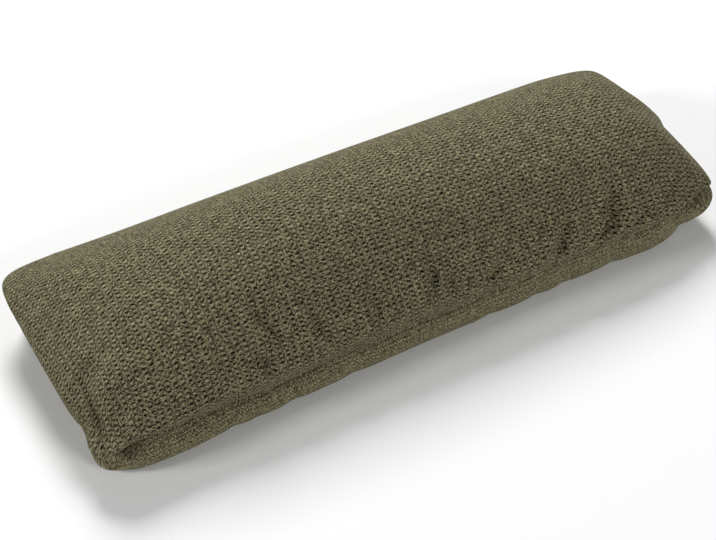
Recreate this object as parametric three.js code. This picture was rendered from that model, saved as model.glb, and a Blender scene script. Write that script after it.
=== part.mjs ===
// Long throw cushion lying on its back: two woven panels joined by one plain seam round the rim, well filled.
// Millimetres. X runs along the cushion, Y from its front edge to its back edge, Z up from the floor.
// The origin is the middle of the cushion's box, on the floor.

import * as THREE from 'three';
import { ParametricGeometry } from 'three/addons/geometries/ParametricGeometry.js';
import { mergeGeometries, mergeVertices } from 'three/addons/utils/BufferGeometryUtils.js';

// Driving dimensions
const LENGTH = 884; // seam to seam along X
const WIDTH = 300; // seam to seam along Y
const CLOTH_COLOUR = 0x5a5540;
const CLOTH_ROUGHNESS = 0.95;

// Share of each half of a panel that is plain middle; the rest is the rim strip that rolls over to the seam
const MIDDLE_X = 0.78;
const MIDDLE_Y = 0.1;
const CORNER_POWER = 7; // 2 is a round corner, more is squarer
const WIDEST = 0.86; // share of the rim strip that ends at the panel's widest line
const DOME_POWER = 2.4; // 1 is a true ellipse across the top, 2 is a parabola
const DOME_ROUNDING = 0.15; // share of the crown that is a true ellipse, so that its edge rolls over
const FOOT_START = 0.55; // share of the way to the widest line where the underside leaves the floor
const GROOVE_SLOPE = 0.15; // share of the groove's height that falls evenly, so that its faces never touch

// Stations round the rim, in order: along the front, up the right end, along the back and down the left end.
// at: distance round the seam's rectangle from the front left corner
// lip: how far the top panel's widest line stands out from that rectangle
// lipUp: height of that line above the seam
// seamIn: how far the seam is drawn in
// seamZ: height of the seam above the floor
// base: how far the bottom panel's widest line stands out
// baseDown: depth of that line below the seam
// foot: distance in from that line to where the cushion meets the floor
const RIM_COLUMNS = ['at', 'lip', 'lipUp', 'seamIn', 'seamZ', 'base', 'baseDown', 'foot'];
const RIM = [
  [0, -2, 12, 38, 35, -10, 15, 28],
  [22, 9, 13, 50, 34, 0, 17, 28],
  [42, 13, 22, 48, 36, 5, 21, 28],
  [58, 12, 24, 20, 43, 12, 26, 28],
  [75, 12, 14, 0, 50, 15, 31, 28],
  [120, 7, 20, 2, 46, 16, 24, 28],
  [160, 5, 24, 4, 43, 13, 20, 28],
  [210, 7, 25, 4, 42, 11.5, 19, 28],
  [280, 4, 23, 5, 44, 8, 21, 28],
  [440, -2, 22, 9, 45, 3, 20, 29],
  [540, -2, 20, 9, 47, 2, 22, 29],
  [600, -2, 19, 9, 48, 1, 23, 29],
  [700, -2, 18, 9, 49, -1, 24, 29],
  [780, -3, 17, 10, 49, 1, 24, 29],
  [806, -3, 15, 8, 48, -3, 23, 30],
  [830, -9, 20, 34, 43, -10, 17, 30],
  [856, -16, 24, 50, 41, -17, 13, 32],
  [878, -14, 20, 50, 47, -9, 16, 34],
  [896, -4, 8, 14, 58, 6, 14, 40],
  [912, 6, 6, -2, 60, 9, 14, 42],
  [940, 7, 12, -1, 56, 4, 21, 40],
  [1010, 7, 20, 1, 48, -1, 23, 38],
  [1030, 12, 20, 1, 48, -1, 23, 38],
  [1048, 17, 20, 1, 48, 1, 23, 38],
  [1064, 15, 20, 1, 48, 1, 23, 38],
  [1095, 7, 20, 1, 48, -1, 23, 38],
  [1150, 1, 19, 6, 48, -3, 23, 38],
  [1184, 3, 15, 24, 50, -7, 23, 34],
  [1230, 2, 18, 9, 48, -3, 23, 30],
  [1300, 6, 20, 4, 47, 1, 22, 30],
  [1450, 3, 20, 6, 47, 2, 22, 30],
  [1640, 0, 20, 8, 47, 3, 22, 30],
  [1830, 3, 20, 6, 47, 1, 22, 30],
  [2012, 6.5, 20, 5, 47, -1, 22, 30],
  [2068, 4, 15, 24, 50, -17, 23, 34],
  [2100, 1, 19, 9, 48, -25, 23, 42],
  [2218, -4, 19, 9, 48, -30, 23, 44],
  [2290, -9, 16, 11, 48, -28, 24, 42],
  [2325, -17, 12, 16, 48, -26, 26, 40],
  [2348, -16, 8, 28, 43, -20, 22, 36],
];

// Height of the crown along the cushion
const CROWN_COLUMNS = ['x', 'height'];
const CROWN = [
  [-442, 108],
  [-330, 136],
  [-180, 160],
  [0, 168],
  [180, 161],
  [330, 152],
  [442, 139],
];

// Main folds of the top panel: the fold's middle on the flat panel, its heading in degrees from +X,
// its length, its width and its height, below zero for a furrow
const FOLD_COLUMNS = ['x', 'y', 'heading', 'length', 'width', 'height'];
const FOLDS = [
  [311, -120, -130, 72, 22, -3],
  [292, -112, -138, 75, 26, 2.5],
  [269, -109, -125, 92, 22, -7],
  [251, -101, -125, 90, 22, 5],
  [260, -60, -95, 30, 22, -3],
  [199, -111, -116, 85, 22, -5.5],
  [185, -94, -128, 80, 24, 4],
  [98, -113, -133, 40, 22, -4],
  [92, -97, -138, 44, 22, 3],
  [40, -108, -98, 46, 22, -3],
  [28, -92, -102, 36, 22, 2],
  [16, -92, -110, 50, 22, -5],
  [3, -86, -110, 48, 24, 3],
  [-64, -93, -107, 44, 22, -3],
  [-78, -105, -100, 52, 22, 3],
  [-140, -83, -68, 44, 22, -4.5],
  [-152, -88, -74, 44, 26, 4],
  [-198, -68, -51, 50, 24, -5],
  [-214, -80, -61, 56, 24, 5],
  [-209, -103, -75, 46, 22, -4.5],
  [-271, -80, -90, 40, 24, 2],
  [-378, -60, -157, 46, 22, 5],
  [-388, -80, -100, 40, 20, -7],
];
const FOLD_SHARPNESS = 1.5;

// Mesh lines: how finely the middle is cut, and where the lines of the rim strip lie
const MIDDLE_COLUMNS = 96;
const MIDDLE_ROWS = 2;
const STRIP_LINES = [0.14, 0.28, 0.41, 0.54, 0.66, 0.77, 0.86, 0.9, 0.95, 1];

const PERIMETER = 2 * (LENGTH + WIDTH);
const QUARTER_TURN = Math.PI / 2;
const TINY = 1e-9;
const WELD_DISTANCE = 1e-3;

// A smooth curve through one column of a table, which never swings past its own rows
function column(rows, names, name, period) {
  const index = names.indexOf(name);
  let places = rows.map((row) => row[0]);
  let values = rows.map((row) => row[index]);
  if (period) {
    places = [...places.slice(-2).map((p) => p - period), ...places, ...places.slice(0, 2).map((p) => p + period)];
    values = [...values.slice(-2), ...values, ...values.slice(0, 2)];
  }
  const slopes = values.slice(1).map((value, i) => (value - values[i]) / (places[i + 1] - places[i]));
  const tangents = values.map((value, i) => {
    const before = slopes[i - 1];
    const after = slopes[i];
    return before * after > 0 ? (2 * before * after) / (before + after) : 0;
  });
  return (place) => {
    const next = places.findIndex((p, i) => i > 0 && place < p);
    const i = next < 0 ? places.length - 2 : next - 1;
    const span = places[i + 1] - places[i];
    const f = (place - places[i]) / span;
    const start = (1 + 2 * f) * (1 - f) ** 2 * values[i] + f * (1 - f) ** 2 * span * tangents[i];
    const end = f * f * (3 - 2 * f) * values[i + 1] + f * f * (f - 1) * span * tangents[i + 1];
    return start + end;
  };
}

const rim = Object.fromEntries(RIM_COLUMNS.map((name) => [name, column(RIM, RIM_COLUMNS, name, PERIMETER)]));
const crownHeight = column(CROWN, CROWN_COLUMNS, 'height');

// Where a point of the flat panel lies: how far into the rim strip, in which direction and at which station
function placeOnPanel(s, t) {
  const alongX = Math.max(0, (Math.abs(s) - MIDDLE_X) / (1 - MIDDLE_X));
  const alongY = Math.max(0, (Math.abs(t) - MIDDLE_Y) / (1 - MIDDLE_Y));
  const square = Math.max(alongX, alongY);
  const round = (alongX ** CORNER_POWER + alongY ** CORNER_POWER) ** (1 / CORNER_POWER);
  const strip = round * (1 - square ** 2) + square * square ** 2;

  const middle = new THREE.Vector2(MIDDLE_X * LENGTH / 2, MIDDLE_Y * WIDTH / 2);
  const reach = new THREE.Vector2(LENGTH / 2 - middle.x, WIDTH / 2 - middle.y);
  const base = new THREE.Vector2(
    Math.sign(s) * Math.min(Math.abs(s) / MIDDLE_X, 1) * middle.x,
    Math.sign(t) * Math.min(Math.abs(t) / MIDDLE_Y, 1) * middle.y,
  );
  const way = new THREE.Vector2(
    Math.sign(s) * reach.x * alongX / Math.max(round, TINY),
    Math.sign(t) * reach.y * alongY / Math.max(round, TINY),
  );

  const rimX = alongX > 0 ? Math.sign(s) * (middle.x + reach.x * alongX / square) : s * LENGTH / 2;
  const rimY = alongY > 0 ? Math.sign(t) * (middle.y + reach.y * alongY / square) : t * WIDTH / 2;
  let at;
  if (alongY >= alongX) {
    at = t < 0 ? rimX + LENGTH / 2 : LENGTH + WIDTH + LENGTH / 2 - rimX;
  } else {
    at = s > 0 ? LENGTH + rimY + WIDTH / 2 : 2 * LENGTH + WIDTH + WIDTH / 2 - rimY;
  }
  const distance = way.length();
  return { strip, base, distance, direction: way.normalize(), at: at % PERIMETER };
}

function foldHeight(x, y) {
  return FOLDS.reduce((sum, [foldX, foldY, heading, length, width, height]) => {
    const offset = new THREE.Vector2(x - foldX, y - foldY);
    offset.rotateAround(new THREE.Vector2(), -THREE.MathUtils.degToRad(heading));
    const spread = (offset.x / (length / 2)) ** 2 + (offset.y / (width / 2)) ** 2;
    return sum + height * Math.exp(-FOLD_SHARPNESS * spread);
  }, 0);
}

// The rolled-in part of the rim, from a panel's widest line to the seam
function groove(distance, out, seamIn, drop, share) {
  const turn = share * QUARTER_TURN;
  return {
    radius: distance + out - (out + seamIn) * (1 - Math.cos(turn)),
    rise: drop * ((1 - GROOVE_SLOPE) * (1 - Math.sin(turn)) + GROOVE_SLOPE * (1 - share)),
  };
}

function topPanel(s, t, target) {
  const { strip, base, distance, direction, at } = placeOnPanel(s, t);
  const lip = rim.lip(at);
  const edge = rim.seamZ(at) + rim.lipUp(at);
  const turn = Math.min(strip / WIDEST, 1) * QUARTER_TURN;
  let radius = distance > 0 ? Math.sin(turn) * (distance + lip) : 0;
  const dome = (1 - DOME_ROUNDING) * Math.cos(turn) ** DOME_POWER + DOME_ROUNDING * Math.cos(turn);
  let height = edge + (crownHeight(s * LENGTH / 2) - edge) * dome;
  let fade = 1;
  if (strip > WIDEST) {
    const share = (strip - WIDEST) / (1 - WIDEST);
    const rolled = groove(distance, lip, rim.seamIn(at), rim.lipUp(at), share);
    radius = rolled.radius;
    height = rim.seamZ(at) + rolled.rise;
    fade = 1 - share;
  }
  const fold = foldHeight(s * LENGTH / 2, t * WIDTH / 2) * fade;
  radius += Math.sin(turn) * fold;
  target.set(base.x + direction.x * radius, base.y + direction.y * radius, height + Math.cos(turn) * fold);
}

function bottomPanel(s, t, target) {
  const { strip, base, distance, direction, at } = placeOnPanel(s, t);
  const out = rim.base(at);
  const foot = rim.foot(at);
  const inner = Math.max(distance + out - foot, 1);
  const way = Math.min(strip / WIDEST, 1);
  let radius = way / FOOT_START * inner;
  let height = 0;
  if (way > FOOT_START) {
    const turn = (way - FOOT_START) / (1 - FOOT_START) * QUARTER_TURN;
    radius = inner + foot * Math.sin(turn);
    height = (rim.seamZ(at) - rim.baseDown(at)) * (1 - Math.cos(turn));
  }
  if (strip > WIDEST) {
    const rolled = groove(distance, out, rim.seamIn(at), rim.baseDown(at), (strip - WIDEST) / (1 - WIDEST));
    radius = rolled.radius;
    height = rim.seamZ(at) - rolled.rise;
  }
  target.set(base.x + direction.x * radius, base.y + direction.y * radius, height);
}

function panelLines(middleShare, middleCount) {
  const middle = Array.from({ length: middleCount + 1 }, (_, i) => middleShare * (2 * i / middleCount - 1));
  const strip = STRIP_LINES.map((line) => middleShare + (1 - middleShare) * line);
  return [...strip.map((line) => -line).reverse(), ...middle, ...strip];
}

function panelGeometry(surface, faceUp) {
  const columns = panelLines(MIDDLE_X, MIDDLE_COLUMNS);
  const rows = panelLines(MIDDLE_Y, MIDDLE_ROWS);
  const lineAt = (lines, share) => lines[Math.round(share * (lines.length - 1))];
  const place = (u, v, target) => surface(lineAt(columns, faceUp ? u : 1 - u), lineAt(rows, v), target);
  const geometry = new ParametricGeometry(place, columns.length - 1, rows.length - 1);
  geometry.deleteAttribute('uv');
  geometry.deleteAttribute('normal');
  return geometry;
}

function cushionGeometry() {
  const panels = [panelGeometry(topPanel, true), panelGeometry(bottomPanel, false)];
  const solid = mergeVertices(mergeGeometries(panels), WELD_DISTANCE);
  solid.computeBoundingBox();
  const centre = solid.boundingBox.getCenter(new THREE.Vector3());
  solid.translate(-centre.x, -centre.y, -solid.boundingBox.min.z);
  solid.computeVertexNormals();
  return solid;
}

const cloth = new THREE.MeshStandardMaterial({
  color: CLOTH_COLOUR,
  roughness: CLOTH_ROUGHNESS,
  metalness: 0,
});

const cushion = new THREE.Mesh(cushionGeometry(), cloth);
cushion.name = 'cushion';

const group = new THREE.Group();
group.add(cushion);

export default group;
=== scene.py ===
import math

import bmesh
import bpy
import numpy as np
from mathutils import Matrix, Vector


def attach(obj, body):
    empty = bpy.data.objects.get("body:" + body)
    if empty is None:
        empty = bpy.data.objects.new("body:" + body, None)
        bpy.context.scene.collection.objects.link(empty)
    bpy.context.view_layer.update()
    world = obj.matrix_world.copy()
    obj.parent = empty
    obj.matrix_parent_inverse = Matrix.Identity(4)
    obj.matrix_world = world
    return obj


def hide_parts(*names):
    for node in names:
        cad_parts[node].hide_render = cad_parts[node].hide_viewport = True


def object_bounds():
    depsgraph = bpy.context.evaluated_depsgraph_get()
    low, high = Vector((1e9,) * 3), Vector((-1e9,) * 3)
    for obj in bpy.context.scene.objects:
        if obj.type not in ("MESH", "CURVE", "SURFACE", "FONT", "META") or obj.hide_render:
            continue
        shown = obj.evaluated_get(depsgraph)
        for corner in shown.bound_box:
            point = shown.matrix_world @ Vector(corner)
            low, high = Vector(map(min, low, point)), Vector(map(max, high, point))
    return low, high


bl_info = {
    "name": "Long throw cushion",
    "version": (1, 0, 0),
    "blender": (4, 5, 0),
    "location": "3D View > Sidebar > Cushion",
    "description": "Dresses a long, well filled throw cushion in chunky dark olive weave",
    "category": "Object",
}

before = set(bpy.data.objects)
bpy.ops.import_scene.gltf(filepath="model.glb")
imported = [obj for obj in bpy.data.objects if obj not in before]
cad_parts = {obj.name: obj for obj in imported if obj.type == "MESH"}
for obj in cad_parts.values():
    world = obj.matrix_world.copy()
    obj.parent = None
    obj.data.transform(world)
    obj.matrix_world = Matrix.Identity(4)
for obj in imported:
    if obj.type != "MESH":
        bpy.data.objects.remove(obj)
SOLID_BOX = [list(map(float, corner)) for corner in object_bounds()]

MM = 0.001

# The cushion's form is the one of its solid, worked out on a finer mesh. Lengths in the tables are in mm.
LENGTH = 884 * MM
WIDTH = 300 * MM
MIDDLE_X = 0.78
MIDDLE_Y = 0.10
CORNER_POWER = 7
WIDEST = 0.86
DOME_POWER = 2.4
DOME_ROUNDING = 0.15
FOOT_START = 0.55
GROOVE_SLOPE = 0.15
FOLD_SHARPNESS = 1.5

# Stations round the rim from the front left corner, as in the solid
RIM_COLUMNS = ("at", "lip", "lip_up", "seam_in", "seam_z", "base", "base_down", "foot")
RIM = (
    (0, -2, 12, 38, 35, -10, 15, 28),
    (22, 9, 13, 50, 34, 0, 17, 28),
    (42, 13, 22, 48, 36, 5, 21, 28),
    (58, 12, 24, 20, 43, 12, 26, 28),
    (75, 12, 14, 0, 50, 15, 31, 28),
    (120, 7, 20, 2, 46, 16, 24, 28),
    (160, 5, 24, 4, 43, 13, 20, 28),
    (210, 7, 25, 4, 42, 11.5, 19, 28),
    (280, 4, 23, 5, 44, 8, 21, 28),
    (440, -2, 22, 9, 45, 3, 20, 29),
    (540, -2, 20, 9, 47, 2, 22, 29),
    (600, -2, 19, 9, 48, 1, 23, 29),
    (700, -2, 18, 9, 49, -1, 24, 29),
    (780, -3, 17, 10, 49, 1, 24, 29),
    (806, -3, 15, 8, 48, -3, 23, 30),
    (830, -9, 20, 34, 43, -10, 17, 30),
    (856, -16, 24, 50, 41, -17, 13, 32),
    (878, -14, 20, 50, 47, -9, 16, 34),
    (896, -4, 8, 14, 58, 6, 14, 40),
    (912, 6, 6, -2, 60, 9, 14, 42),
    (940, 7, 12, -1, 56, 4, 21, 40),
    (1010, 7, 20, 1, 48, -1, 23, 38),
    (1030, 12, 20, 1, 48, -1, 23, 38),
    (1048, 17, 20, 1, 48, 1, 23, 38),
    (1064, 15, 20, 1, 48, 1, 23, 38),
    (1095, 7, 20, 1, 48, -1, 23, 38),
    (1150, 1, 19, 6, 48, -3, 23, 38),
    (1184, 3, 15, 24, 50, -7, 23, 34),
    (1230, 2, 18, 9, 48, -3, 23, 30),
    (1300, 6, 20, 4, 47, 1, 22, 30),
    (1450, 3, 20, 6, 47, 2, 22, 30),
    (1640, 0, 20, 8, 47, 3, 22, 30),
    (1830, 3, 20, 6, 47, 1, 22, 30),
    (2012, 6.5, 20, 5, 47, -1, 22, 30),
    (2068, 4, 15, 24, 50, -17, 23, 34),
    (2100, 1, 19, 9, 48, -25, 23, 42),
    (2218, -4, 19, 9, 48, -30, 23, 44),
    (2290, -9, 16, 11, 48, -28, 24, 42),
    (2325, -17, 12, 16, 48, -26, 26, 40),
    (2348, -16, 8, 28, 43, -20, 22, 36),
)

CROWN_COLUMNS = ("x", "height")
CROWN = ((-442, 108), (-330, 136), (-180, 160), (0, 168), (180, 161), (330, 152), (442, 139))

# Folds of the top panel as in the photo, finer than on the solid: middle on the flat panel, heading in degrees,
# length, width, height
FOLD_COLUMNS = ("x", "y", "heading", "length", "width", "height")
FOLDS = (
    (311, -120, -130, 72, 16, -7),
    (295, -114, -138, 75, 18, 6.5),
    (268, -108, -125, 92, 16, -12.5),
    (255, -103, -125, 90, 16, 9),
    (260, -60, -95, 28, 16, -7),
    (198, -111, -116, 85, 16, -9.5),
    (187, -95, -128, 80, 16, 8),
    (97, -112, -133, 36, 14, -10),
    (94, -98, -138, 40, 14, 6.5),
    (82, -59, -57, 34, 16, 3),
    (40, -108, -98, 46, 16, -6.5),
    (29, -92, -102, 32, 14, 5),
    (17, -90, -110, 50, 14, -9),
    (5, -86, -110, 44, 16, 6.5),
    (-63, -92, -107, 40, 14, -7),
    (-76, -106, -100, 52, 16, 6.5),
    (-142, -82, -68, 40, 14, -9),
    (-150, -87, -74, 36, 20, 8),
    (-199, -68, -51, 46, 18, -9),
    (-212, -78, -61, 50, 16, 10),
    (-211, -102, -75, 42, 14, -10),
    (-271, -80, -90, 32, 16, 5),
    (-372, -64, -157, 44, 18, 9),
    (-390, -84, -98, 38, 13, -18),
    (-384, -52, -165, 34, 16, -6),
)

# Places round the seam where the gathered cloth is pinched in: width along the seam, and how far out the top
# and the bottom panel's rolls then stand
PINCH_COLUMNS = ("at", "width", "lip", "base")
PINCHES = (
    (179, 28, -2.5, -3),
    (209, 22, 0, -2),
    (237, 26, -2.5, 0),
    (258, 26, 0, -2.5),
    (318, 28, -2.5, 0),
    (339, 28, 0, -2.5),
    (485, 28, -2.5, 0),
    (534, 26, -2.5, -2.5),
    (604, 26, 0, -2.5),
    (623, 24, -2.5, 0),
    (648, 26, 0, -2.5),
    (690, 24, -2.5, 0),
    (722, 26, -2.5, -3),
    (840, 26, 0, -2.5),
)

# Share of the mesh lines that lie beyond the widest line
COLUMN_ROLL = 0.06
ROW_ROLL = 0.16

# The bottom panel's cloth map lies beside the top panel's, and all of it beyond BELOW_START
PANEL_SHIFT = (1.7 * MM, 700 * MM)
BELOW_START = 350 * MM

PERIMETER = 2 * (LENGTH + WIDTH)
QUARTER_TURN = math.pi / 2
TINY = 1e-9

# Soft square lights that face the cushion: place and size in metres, energy in watts
LIGHT_COLUMNS = ("name", "place", "size", "energy")
LIGHTS = (
    ("back_light", (1.1, 3.9, 3.6), 2.0, 290),
    ("side_light", (-4.7, 0.6, 2.6), 1.2, 120),
    ("front_light", (1.2, -4.2, 2.5), 1.6, 92),
)


class ThrowCushionSizes(bpy.types.PropertyGroup):
    """How finely the cover is meshed and how far its cloth may settle."""

    columns: bpy.props.IntProperty(name="Columns", description="Mesh strips along the cushion", default=208)
    rows: bpy.props.IntProperty(name="Rows", description="Mesh strips across one panel", default=56)
    settle: bpy.props.FloatProperty(
        name="Settle",
        description="Farthest that a point may move while the cloth settles",
        default=4.5 * MM,
        unit="LENGTH",
    )
    fullness: bpy.props.FloatProperty(
        name="Extra cloth",
        description="Share by which the cloth by the seam is longer than the seam it is gathered into",
        default=0.035,
        subtype="FACTOR",
    )
    pressure: bpy.props.FloatProperty(name="Filling pressure", description="Push of the filling", default=4.0)


class ThrowClothLook(bpy.types.PropertyGroup):
    """Colours and yarn sizes of the woven cloth."""

    yarn_along: bpy.props.FloatProperty(
        name="Pitch along", description="Weave cell along the cushion", default=9.0 * MM, unit="LENGTH"
    )
    yarn_across: bpy.props.FloatProperty(
        name="Pitch across", description="Weave cell across the cushion", default=6.2 * MM, unit="LENGTH"
    )
    yarn_light: bpy.props.FloatVectorProperty(
        name="Light yarn", description="Yarn fibres that catch the light", default=(0.400, 0.364, 0.212), subtype="COLOR"
    )
    yarn_dark: bpy.props.FloatVectorProperty(
        name="Dark yarn", description="Yarn fibres in shade", default=(0.016, 0.013, 0.005), subtype="COLOR"
    )
    gap: bpy.props.FloatVectorProperty(
        name="Gap", description="Shade between the yarns", default=(0.002, 0.002, 0.001), subtype="COLOR"
    )


class ThrowStage(bpy.types.PropertyGroup):
    """The pale floor, the soft lights and the camera."""

    floor: bpy.props.FloatVectorProperty(
        name="Floor", description="Colour of the floor", default=(0.90, 0.90, 0.90), subtype="COLOR"
    )
    daylight: bpy.props.FloatProperty(
        name="Daylight", description="Strength of the even white light from all round", default=0.14
    )
    azimuth: bpy.props.FloatProperty(
        name="Azimuth", description="Camera round the cushion", default=math.radians(-28.30), subtype="ANGLE"
    )
    elevation: bpy.props.FloatProperty(
        name="Elevation", description="Camera above the floor", default=math.radians(45.54), subtype="ANGLE"
    )
    distance: bpy.props.FloatProperty(
        name="Distance", description="Camera to the point it looks at", default=1.9015, unit="LENGTH"
    )
    aim: bpy.props.FloatVectorProperty(
        name="Aim", description="Point that the camera looks at", default=(-0.0464, -0.0367, 0.060), subtype="XYZ"
    )
    lens: bpy.props.FloatProperty(name="Lens", description="Focal length in millimetres", default=77.1)


# Form of the cover

def column(rows, names, name, places, period=None):
    """One column of a table at the given places, as a smooth curve that never swings past its own rows."""
    at = np.array([row[0] for row in rows], dtype=float) * MM
    values = np.array([row[names.index(name)] for row in rows], dtype=float) * MM
    if period:
        at = np.concatenate((at[-2:] - period, at, at[:2] + period))
        values = np.concatenate((values[-2:], values, values[:2]))
        places = np.mod(places, period)
    spans = np.diff(at)
    slopes = np.diff(values) / spans
    tangents = np.zeros_like(values)
    product = slopes[1:] * slopes[:-1]
    total = np.where(product > 0, slopes[1:] + slopes[:-1], 1)
    tangents[1:-1] = np.where(product > 0, 2 * product / total, 0)
    i = np.clip(np.searchsorted(at, places, side="right") - 1, 0, len(at) - 2)
    f = (places - at[i]) / spans[i]
    start = (1 + 2 * f) * (1 - f) ** 2 * values[i] + f * (1 - f) ** 2 * spans[i] * tangents[i]
    end = f * f * (3 - 2 * f) * values[i + 1] + f * f * (f - 1) * spans[i] * tangents[i + 1]
    return start + end


def place_on_panel(s, t):
    """Where points of the flat panel lie: share of the rim strip, base point, reach, direction and rim station."""
    along_x = np.maximum(0, (np.abs(s) - MIDDLE_X) / (1 - MIDDLE_X))
    along_y = np.maximum(0, (np.abs(t) - MIDDLE_Y) / (1 - MIDDLE_Y))
    square = np.maximum(along_x, along_y)
    rounded = (along_x ** CORNER_POWER + along_y ** CORNER_POWER) ** (1 / CORNER_POWER)
    strip = rounded * (1 - square ** 2) + square * square ** 2

    middle_x, middle_y = MIDDLE_X * LENGTH / 2, MIDDLE_Y * WIDTH / 2
    reach_x, reach_y = LENGTH / 2 - middle_x, WIDTH / 2 - middle_y
    base_x = np.sign(s) * np.minimum(np.abs(s) / MIDDLE_X, 1) * middle_x
    base_y = np.sign(t) * np.minimum(np.abs(t) / MIDDLE_Y, 1) * middle_y
    way_x = np.sign(s) * reach_x * along_x / np.maximum(rounded, TINY)
    way_y = np.sign(t) * reach_y * along_y / np.maximum(rounded, TINY)
    distance = np.hypot(way_x, way_y)
    unit = np.maximum(distance, TINY)

    outer = np.maximum(square, TINY)
    rim_x = np.where(along_x > 0, np.sign(s) * (middle_x + reach_x * along_x / outer), s * LENGTH / 2)
    rim_y = np.where(along_y > 0, np.sign(t) * (middle_y + reach_y * along_y / outer), t * WIDTH / 2)
    on_long_side = np.where(t < 0, rim_x + LENGTH / 2, LENGTH + WIDTH + LENGTH / 2 - rim_x)
    on_end = np.where(s > 0, LENGTH + rim_y + WIDTH / 2, 2 * LENGTH + WIDTH + WIDTH / 2 - rim_y)
    at = np.where(along_y >= along_x, on_long_side, on_end)
    return strip, (base_x, base_y), distance, (way_x / unit, way_y / unit), at


def fold_height(folds, x, y):
    """Height of all folds at places of the flat panel."""
    height = np.zeros_like(x)
    for fold_x, fold_y, heading, length, width, rise in folds:
        turn = math.radians(heading)
        off_x, off_y = x - fold_x * MM, y - fold_y * MM
        along = (off_x * math.cos(turn) + off_y * math.sin(turn)) / (length * MM / 2)
        across = (off_y * math.cos(turn) - off_x * math.sin(turn)) / (width * MM / 2)
        height += rise * MM * np.exp(-FOLD_SHARPNESS * (along ** 2 + across ** 2))
    return height


def pinched(at, roll):
    """How far the pinches move the lip or the base roll at stations round the rim."""
    moved = np.zeros_like(at)
    for pinch in PINCHES:
        place, width, out = (pinch[PINCH_COLUMNS.index(name)] * MM for name in ("at", "width", roll))
        moved += out * np.exp(-FOLD_SHARPNESS * ((at - place) / (width / 2)) ** 2)
    return moved


def groove(distance, out, seam_in, drop, share):
    """The rolled-in part of the rim, from a panel's widest line to the seam."""
    turn = share * QUARTER_TURN
    radius = distance + out - (out + seam_in) * (1 - np.cos(turn))
    rise = drop * ((1 - GROOVE_SLOPE) * (1 - np.sin(turn)) + GROOVE_SLOPE * (1 - share))
    return radius, rise


def cover_points(s, t, top, folds=FOLDS):
    """Places of panel points s, t from -1 to 1 on the filled cushion; top is True on the top panel."""
    strip, base, distance, direction, at = place_on_panel(s, t)
    rim = {name: column(RIM, RIM_COLUMNS, name, at, PERIMETER) for name in RIM_COLUMNS[1:]}
    if folds:
        rim["lip"] = rim["lip"] + pinched(at, "lip")
        rim["base"] = rim["base"] + pinched(at, "base")
    way = np.minimum(strip / WIDEST, 1)
    share = np.clip((strip - WIDEST) / (1 - WIDEST), 0, 1)
    rolled = strip > WIDEST

    crown = column(CROWN, CROWN_COLUMNS, "height", s * LENGTH / 2)
    turn = way * QUARTER_TURN
    lip_z = rim["seam_z"] + rim["lip_up"]
    in_radius, in_rise = groove(distance, rim["lip"], rim["seam_in"], rim["lip_up"], share)
    top_radius = np.where(rolled, in_radius, np.sin(turn) * (distance + rim["lip"]))
    dome = (1 - DOME_ROUNDING) * np.cos(turn) ** DOME_POWER + DOME_ROUNDING * np.cos(turn)
    top_z = np.where(rolled, rim["seam_z"] + in_rise, lip_z + (crown - lip_z) * dome)
    fold = fold_height(folds, s * LENGTH / 2, t * WIDTH / 2) * (1 - share)
    top_radius = top_radius + np.sin(turn) * fold
    top_z = top_z + np.cos(turn) * fold

    inner = np.maximum(distance + rim["base"] - rim["foot"], MM)
    bend = np.clip((way - FOOT_START) / (1 - FOOT_START), 0, 1) * QUARTER_TURN
    low_radius = np.where(way < FOOT_START, way / FOOT_START * inner, inner + rim["foot"] * np.sin(bend))
    low_z = (rim["seam_z"] - rim["base_down"]) * (1 - np.cos(bend))
    in_radius, in_rise = groove(distance, rim["base"], rim["seam_in"], rim["base_down"], share)
    low_radius = np.where(rolled, in_radius, low_radius)
    low_z = np.where(rolled, rim["seam_z"] - in_rise, low_z)

    radius = np.where(distance > 0, np.where(top, top_radius, low_radius), 0)
    x = base[0] + direction[0] * radius
    y = base[1] + direction[1] * radius
    return np.stack((x, y, np.where(top, top_z, low_z)), axis=-1)


# Mesh of the cover

def read_places(mesh):
    places = np.empty(len(mesh.vertices) * 3)
    mesh.vertices.foreach_get("co", places)
    return places.reshape(-1, 3)


def write_places(mesh, places):
    mesh.vertices.foreach_set("co", np.ascontiguousarray(places, dtype=float).ravel())
    mesh.update()


def panel_line(share, middle, rolled_share):
    """Panel coordinate of a mesh line from -1 to 1, with rolled_share of the lines beyond the widest line."""
    size = np.abs(share)
    widest = middle + (1 - middle) * WIDEST
    knee = 1 - rolled_share
    inner = widest * size / knee
    outer = widest + (1 - widest) * (size - knee) / (1 - knee)
    return np.sign(share) * np.where(size < knee, inner, outer)


def flat_cover(columns, rows):
    """Both panels as grids, welded along the seam, with x and y as panel coordinates and z telling top from bottom."""
    shell = bmesh.new()
    for side in (1, -1):
        grid = bmesh.ops.create_grid(shell, x_segments=columns, y_segments=rows, size=1)
        faces = list({face for vert in grid["verts"] for face in vert.link_faces})
        inner = [vert for vert in grid["verts"] if not vert.is_boundary]
        bmesh.ops.translate(shell, verts=inner, vec=(0, 0, side))
        if side < 0:
            bmesh.ops.reverse_faces(shell, faces=faces)
    edge = [vert for vert in shell.verts if vert.is_boundary]
    bmesh.ops.remove_doubles(shell, verts=edge, dist=1e-5)
    mesh = bpy.data.meshes.new("cushion_cover")
    shell.to_mesh(mesh)
    shell.free()
    return mesh


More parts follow.
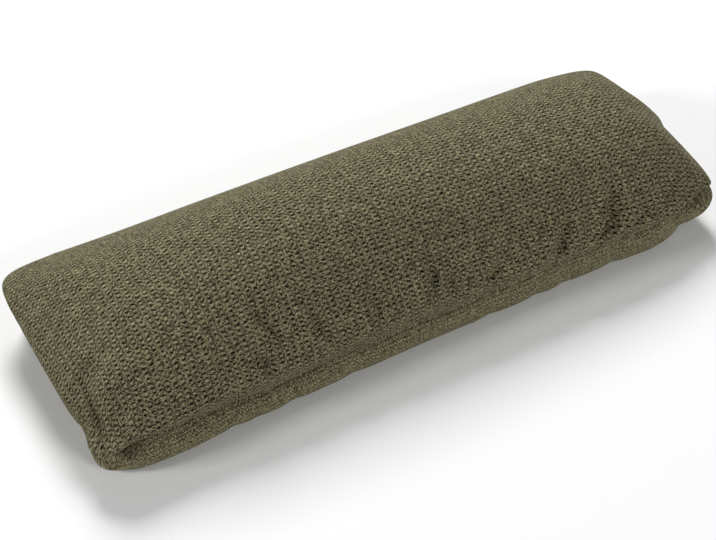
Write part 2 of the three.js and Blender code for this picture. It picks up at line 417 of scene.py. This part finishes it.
def cloth_measure(s_lines, t_lines, top):
    """Length of cloth from the panel's centre lines to each crossing of the mesh lines."""
    s, t = np.meshgrid(s_lines, t_lines, indexing="ij")
    places = cover_points(s, t, np.full(s.shape, top), folds=())
    measures = []
    for axis in (0, 1):
        steps = np.linalg.norm(np.diff(places, axis=axis), axis=-1)
        start = np.zeros_like(np.take(steps, [0], axis=axis))
        run = np.concatenate((start, np.cumsum(steps, axis=axis)), axis=axis)
        centre = np.take(run, [run.shape[axis] // 2], axis=axis)
        measures.append(run - centre)
    return np.stack(measures, axis=-1)


def write_cloth_map(mesh, flat, columns, rows):
    """UV map in metres of cloth, so that the weave keeps its size over the whole cover."""
    lines_s = np.linspace(-1, 1, columns + 1)
    lines_t = np.linspace(-1, 1, rows + 1)
    s_lines = panel_line(lines_s, MIDDLE_X, COLUMN_ROLL)
    t_lines = panel_line(lines_t, MIDDLE_Y, ROW_ROLL)
    maps = {side: cloth_measure(s_lines, t_lines, side > 0) for side in (1, -1)}
    corners = np.empty(len(mesh.loops), dtype=int)
    mesh.loops.foreach_get("vertex_index", corners)
    sides = np.empty(len(mesh.loops))
    for polygon in mesh.polygons:
        level = sum(flat[v][2] for v in polygon.vertices)
        sides[polygon.loop_start:polygon.loop_start + polygon.loop_total] = 1 if level > 0 else -1
    i = np.rint((flat[corners, 0] + 1) / 2 * columns).astype(int)
    j = np.rint((flat[corners, 1] + 1) / 2 * rows).astype(int)
    cloth = np.where((sides > 0)[:, None], maps[1][i, j], maps[-1][i, j] + PANEL_SHIFT)
    layer = mesh.uv_layers.new(name="Cloth")
    layer.data.foreach_set("uv", cloth.ravel())


def crease_seam(mesh, flat):
    """Keeps the seam a sharp line when the mesh is subdivided."""
    sharp = mesh.attributes.new("crease_edge", "FLOAT", "EDGE")
    sharp.data.foreach_set("value", [float(all(flat[v, 2] == 0 for v in edge.vertices)) for edge in mesh.edges])


def new_cover(sizes):
    """The cover before its cloth settles, with its flat places and panel coordinates."""
    mesh = flat_cover(sizes.columns, sizes.rows)
    flat = read_places(mesh)
    write_cloth_map(mesh, flat, sizes.columns, sizes.rows)
    s = panel_line(flat[:, 0], MIDDLE_X, COLUMN_ROLL)
    t = panel_line(flat[:, 1], MIDDLE_Y, ROW_ROLL)
    places = cover_points(s, t, flat[:, 2] > 0)
    middle = (np.array(SOLID_BOX[0]) + np.array(SOLID_BOX[1])) / 2
    places[:, :2] += middle[:2] - (places.min(axis=0) + places.max(axis=0))[:2] / 2
    write_places(mesh, places)
    crease_seam(mesh, flat)
    cover = bpy.data.objects.new("cushion_cover", mesh)
    bpy.context.collection.objects.link(cover)
    return cover, flat, s, t


def settle_cloth(cover, flat, s, t, sizes):
    """Lets the gathered cloth by the seam find its own puckers under the filling's pressure."""
    strip, *_, at = place_on_panel(s, t)
    start = read_places(cover.data)
    top = flat[:, 2] > 0
    seam = flat[:, 2] == 0
    resting = (flat[:, 2] < 0) & (start[:, 2] < 1 * MM)
    at_pocket = (strip > 0.7) & ((at < 80 * MM) | (at > 2300 * MM) | ((at > 810 * MM) & (at < 930 * MM)))
    hold = np.where(seam | resting, 1.0, np.where(at_pocket, 0.5, 0.10))
    gather = np.clip((strip - 0.25) / 0.5, 0, 1) * (~resting)

    held = cover.vertex_groups.new(name="held")
    gathered = cover.vertex_groups.new(name="gathered")
    for index in range(len(start)):
        held.add([index], float(hold[index]), "REPLACE")
        gathered.add([index], float(gather[index]), "REPLACE")

    cloth = cover.modifiers.new("Cloth", "CLOTH")
    settings = cloth.settings
    settings.quality = 5
    settings.mass = 0.3
    settings.tension_stiffness = 15
    settings.compression_stiffness = 15
    settings.shear_stiffness = 5
    settings.bending_stiffness = 0.4
    settings.use_pressure = True
    settings.uniform_pressure_force = sizes.pressure
    settings.vertex_group_mass = "held"
    settings.pin_stiffness = 1
    settings.vertex_group_shrink = "gathered"
    settings.shrink_min = 0
    settings.shrink_max = -sizes.fullness
    settings.effector_weights.gravity = 0
    cloth.collision_settings.use_collision = False
    cloth.collision_settings.use_self_collision = False
    scene = bpy.context.scene
    for number in range(1, 21):
        scene.frame_set(number)
    settled = cover.evaluated_get(bpy.context.evaluated_depsgraph_get())
    moved = read_places(settled.data) - start
    scene.frame_set(1)
    cover.modifiers.remove(cloth)
    cover.vertex_groups.clear()

    size = np.linalg.norm(moved, axis=1, keepdims=True)
    moved *= sizes.settle * np.tanh(size / sizes.settle) / np.maximum(size, TINY)
    places = start + moved
    places[:, 2] = np.maximum(places[:, 2], 0)
    write_places(cover.data, places)


def smooth_faces(mesh):
    mesh.polygons.foreach_set("use_smooth", [True] * len(mesh.polygons))
    mesh.update()


class ThrowCushionCover(bpy.types.Operator):
    """Makes the cushion's cover: two woven panels, filled and joined by one seam"""

    bl_idname = "throw_cushion.cover"
    bl_label = "Cover"

    def execute(self, context):
        sizes = context.scene.throw_cushion_sizes
        cover, flat, s, t = new_cover(sizes)
        settle_cloth(cover, flat, s, t, sizes)
        smooth_faces(cover.data)
        finer = cover.modifiers.new("Finer", "SUBSURF")
        finer.levels = 1
        finer.render_levels = 1
        cover.data.materials.append(woven_cloth(context.scene.throw_cloth_look))
        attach(cover, "root")
        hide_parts("cushion")
        return {"FINISHED"}


# Woven cloth

class Shader:
    """Adds nodes to a material and joins them."""

    def __init__(self, name):
        self.material = bpy.data.materials.new(name)
        self.material.use_nodes = True
        self.tree = self.material.node_tree
        self.surface = self.tree.nodes["Principled BSDF"]

    def add(self, kind, inputs=(), **settings):
        made = self.tree.nodes.new(kind)
        for name, value in settings.items():
            setattr(made, name, value)
        for key, value in dict(inputs).items():
            self.feed(made.inputs[key], value)
        return made

    def feed(self, socket, value):
        if isinstance(value, bpy.types.NodeSocket):
            self.tree.links.new(value, socket)
        else:
            socket.default_value = value

    def maths(self, operation, first, second=0.0, third=0.0):
        return self.add("ShaderNodeMath", {0: first, 1: second, 2: third}, operation=operation).outputs[0]

    def ramp(self, value, low, high, start=0.0, end=1.0):
        """value between low and high turned smoothly into start to end."""
        inputs = {"Value": value, "From Min": low, "From Max": high, "To Min": start, "To Max": end}
        return self.add("ShaderNodeMapRange", inputs, interpolation_type="SMOOTHSTEP").outputs["Result"]

    def noise(self, vector, scale, detail=2.0, roughness=0.5):
        inputs = {"Vector": vector, "Scale": scale, "Detail": detail, "Roughness": roughness}
        return self.add("ShaderNodeTexNoise", inputs).outputs["Fac"]

    def wander(self, vector, scale, reach):
        """vector moved softly to and fro, up to half of reach."""
        made = self.add("ShaderNodeTexNoise", {"Vector": vector, "Scale": scale, "Detail": 1.0})
        shift = self.add("ShaderNodeVectorMath", {0: made.outputs["Color"], 1: (-0.5, -0.5, -0.5)}, operation="ADD")
        shift = self.add("ShaderNodeVectorMath", {0: shift.outputs[0], "Scale": 2 * reach}, operation="SCALE")
        return self.add("ShaderNodeVectorMath", {0: vector, 1: shift.outputs[0]}, operation="ADD").outputs[0]

    def stretch(self, vector, x, y):
        return self.add("ShaderNodeVectorMath", {0: vector, 1: (x, y, 1)}, operation="MULTIPLY").outputs[0]

    def spot(self, x, y, middle_x, middle_y, reach_x, reach_y):
        """1 in a soft oval round the middle of each unit cell of x and y, 0 outside it."""
        off_x = self.maths("DIVIDE", self.maths("SUBTRACT", self.maths("FRACT", x), middle_x), reach_x)
        off_y = self.maths("DIVIDE", self.maths("SUBTRACT", self.maths("FRACT", y), middle_y), reach_y)
        off = self.maths("SQRT", self.maths("MULTIPLY_ADD", off_x, off_x, self.maths("MULTIPLY", off_y, off_y)))
        return self.ramp(off, 0.5, 1.3, 1.0, 0.0)

    def mix(self, factor, first, second):
        made = self.add("ShaderNodeMix", data_type="RGBA")
        self.feed(made.inputs["Factor"], factor)
        self.feed(made.inputs["A"], first)
        self.feed(made.inputs["B"], second)
        return made.outputs["Result"]


def woven_cloth(look):
    """Chunky weave of soft yarns, with painted shade in a short dash in each cell where the yarns part and in a speck
    at its corner, painted highlight on the raised yarn, and painted light over the bottom panel, where the weave is
    finer and flatter.
    """
    shade = Shader("olive_weave")
    flat = shade.add("ShaderNodeUVMap", uv_map="Cloth").outputs["UV"]
    cloth = shade.wander(shade.wander(flat, 26.0, 3.0 * MM), 120.0, 1.2 * MM)
    parts = shade.add("ShaderNodeSeparateXYZ", {0: cloth})
    below = shade.maths("GREATER_THAN", parts.outputs["Y"], BELOW_START)
    column = shade.maths("DIVIDE", parts.outputs["X"], look.yarn_along)
    column = shade.maths("MULTIPLY_ADD", column, below, column)
    row = shade.maths("DIVIDE", parts.outputs["Y"], look.yarn_across)

    # every cell of the weave has chances of its own
    spot = shade.add("ShaderNodeCombineXYZ", {
        "X": shade.maths("FLOOR", column), "Y": shade.maths("FLOOR", row),
    }).outputs[0]
    chance = shade.add("ShaderNodeTexWhiteNoise", {"Vector": spot}, noise_dimensions="2D")
    luck = chance.outputs["Value"]
    chances = shade.add("ShaderNodeSeparateColor", {0: chance.outputs["Color"]})

    slub = shade.noise(shade.stretch(cloth, 190.0, 60.0), 1.0, 1.0)
    fibre = shade.noise(flat, 700.0, 1.0)
    strand = shade.noise(cloth, 350.0, 1.0)
    heather = shade.noise(cloth, 70.0, 2.0)

    # painted shade: a dark dash in the middle of each cell, where the yarns part, and a faint painted shade speck at
    # its corner
    dash_x = shade.maths("MULTIPLY_ADD", chances.outputs["Red"], 0.16, 0.42)
    dash_y = shade.maths("MULTIPLY_ADD", chances.outputs["Green"], 0.16, 0.42)
    dash_reach = shade.maths("MULTIPLY_ADD", luck, 0.12, 0.23)
    dash = shade.spot(column, row, dash_x, dash_y, dash_reach, 0.20)
    deep = shade.maths("MULTIPLY", shade.ramp(chances.outputs["Blue"], 0.0, 0.5, 0.75, 1.0),
                       shade.ramp(slub, 0.70, 0.45, 0.75, 1.0))
    # the painted gap shade, and the gap's dip in the bump, weaker on the bottom panel
    deep = shade.maths("MULTIPLY", deep, shade.ramp(below, 0.0, 1.0, 1.0, 0.55))
    dash = shade.maths("MULTIPLY", dash, deep)
    speck = shade.spot(shade.maths("ADD", column, 0.65), shade.maths("ADD", row, 0.5), 0.5, 0.5, 0.10, 0.15)

    # the yarn stands up above and below each dash, in the bump, and its crown is painted lighter as painted highlight
    swell_x = shade.maths("COSINE", shade.maths("MULTIPLY", shade.maths("ADD", column, 0.5), 2 * math.pi))
    swell_y = shade.maths("COSINE", shade.maths("MULTIPLY", row, 2 * math.pi))
    swell = shade.maths("MULTIPLY", shade.ramp(swell_x, -1.0, 1.0), shade.ramp(swell_y, -1.0, 1.0))

    lift = shade.maths("MULTIPLY_ADD", fibre, 0.7, swell)
    lift = shade.maths("MULTIPLY_ADD", slub, 0.4, lift)
    lift = shade.maths("MULTIPLY_ADD", dash, -1.2, lift)
    lift = shade.maths("MULTIPLY_ADD", speck, -0.4, lift)

    # yarn tone: its own random fibre, strand, slub and heather tone, with painted highlight on the raised yarn
    bright = shade.maths("MULTIPLY_ADD", shade.ramp(fibre, 0.38, 0.62), 0.45, shade.maths("MULTIPLY", swell, 0.16))
    bright = shade.maths("MULTIPLY_ADD", shade.ramp(strand, 0.36, 0.64), 0.26, bright)
    bright = shade.maths("MULTIPLY_ADD", shade.ramp(slub, 0.34, 0.66), 0.10, bright)
    bright = shade.maths("MULTIPLY_ADD", shade.ramp(heather, 0.3, 0.7), 0.06, bright)
    # painted shade: the speck at each cell's corner darkened
    bright = shade.maths("MULTIPLY_ADD", speck, -0.35, bright)
    # painted light: the whole bottom panel made lighter, for the light thrown up from the pale floor
    bright = shade.maths("MULTIPLY_ADD", below, 0.07, bright)
    yarn = shade.mix(shade.ramp(bright, 0.08, 1.08), (*look.yarn_dark, 1), (*look.yarn_light, 1))
    # painted shade over each dash, in the gap colour
    colour = shade.mix(dash, yarn, (*look.gap, 1))

    bump = shade.add("ShaderNodeBump", {"Height": lift, "Strength": 0.8, "Distance": 1.4 * MM})
    surface = shade.surface
    shade.feed(surface.inputs["Base Color"], colour)
    shade.feed(surface.inputs["Roughness"], shade.ramp(fibre, 0.2, 0.8, 0.98, 0.85))
    shade.feed(surface.inputs["Normal"], bump.outputs["Normal"])
    surface.inputs["Specular IOR Level"].default_value = 0.08
    surface.inputs["Sheen Weight"].default_value = 0.12
    surface.inputs["Sheen Roughness"].default_value = 0.5
    surface.inputs["Sheen Tint"].default_value = (0.60, 0.56, 0.40, 1)
    return shade.material


# Stage

def pale_floor(colour):
    shade = Shader("pale_floor")
    shade.surface.inputs["Base Color"].default_value = (*colour, 1)
    shade.surface.inputs["Roughness"].default_value = 0.8
    sheet = bmesh.new()
    bmesh.ops.create_grid(sheet, x_segments=1, y_segments=1, size=6)
    mesh = bpy.data.meshes.new("floor")
    sheet.to_mesh(mesh)
    sheet.free()
    mesh.materials.append(shade.material)
    floor = bpy.data.objects.new("floor", mesh)
    bpy.context.collection.objects.link(floor)
    return floor


def soft_light(name, place, size, energy):
    lamp = bpy.data.lights.new(name, "AREA")
    lamp.shape = "SQUARE"
    lamp.size = size
    lamp.energy = energy
    light = bpy.data.objects.new(name, lamp)
    light.location = place
    light.rotation_euler = (-Vector(place)).to_track_quat("-Z", "Y").to_euler()
    bpy.context.collection.objects.link(light)
    return light


def photo_camera(stage):
    back = Vector((
        math.sin(stage.azimuth) * math.cos(stage.elevation),
        -math.cos(stage.azimuth) * math.cos(stage.elevation),
        math.sin(stage.elevation),
    ))
    lens = bpy.data.cameras.new("camera")
    lens.lens = stage.lens
    lens.sensor_width = 36
    camera = bpy.data.objects.new("camera", lens)
    camera.location = Vector(stage.aim) + back * stage.distance
    camera.rotation_euler = (-back).to_track_quat("-Z", "Y").to_euler()
    bpy.context.collection.objects.link(camera)
    bpy.context.scene.camera = camera
    return camera


class ThrowCushionStage(bpy.types.Operator):
    """Sets the pale floor, the soft lights and the camera at the photo's angle"""

    bl_idname = "throw_cushion.stage"
    bl_label = "Stage"

    def execute(self, context):
        stage = context.scene.throw_stage
        floor = pale_floor(stage.floor)
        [soft_light(*light) for light in LIGHTS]
        photo_camera(stage)
        world = bpy.data.worlds.new("studio")
        world.use_nodes = True
        world.node_tree.nodes["Background"].inputs["Color"].default_value = (1, 1, 1, 1)
        world.node_tree.nodes["Background"].inputs["Strength"].default_value = stage.daylight
        context.scene.world = world
        context.scene.view_settings.view_transform = "Standard"
        return {"FINISHED"}


class ThrowCushionPanel(bpy.types.Panel):
    """Lists the cushion's parts"""

    bl_idname = "VIEW3D_PT_throw_cushion"
    bl_label = "Long throw cushion"
    bl_space_type = "VIEW_3D"
    bl_region_type = "UI"
    bl_category = "Cushion"

    def draw(self, context):
        for kind in (ThrowCushionCover, ThrowCushionStage):
            self.layout.operator(kind.bl_idname)
        for group in SETTINGS:
            settings = getattr(context.scene, group)
            for name in settings.__annotations__:
                self.layout.prop(settings, name)


SETTINGS = {
    "throw_cushion_sizes": ThrowCushionSizes,
    "throw_cloth_look": ThrowClothLook,
    "throw_stage": ThrowStage,
}
CLASSES = (*SETTINGS.values(), ThrowCushionCover, ThrowCushionStage, ThrowCushionPanel)


def register():
    for kind in CLASSES:
        bpy.utils.register_class(kind)
    for name, group in SETTINGS.items():
        setattr(bpy.types.Scene, name, bpy.props.PointerProperty(type=group))


def unregister():
    for name in SETTINGS:
        delattr(bpy.types.Scene, name)
    for kind in reversed(CLASSES):
        bpy.utils.unregister_class(kind)


def main():
    register()
    bpy.ops.throw_cushion.cover()
    bpy.ops.throw_cushion.stage()


if __name__ == "__main__":
    main()
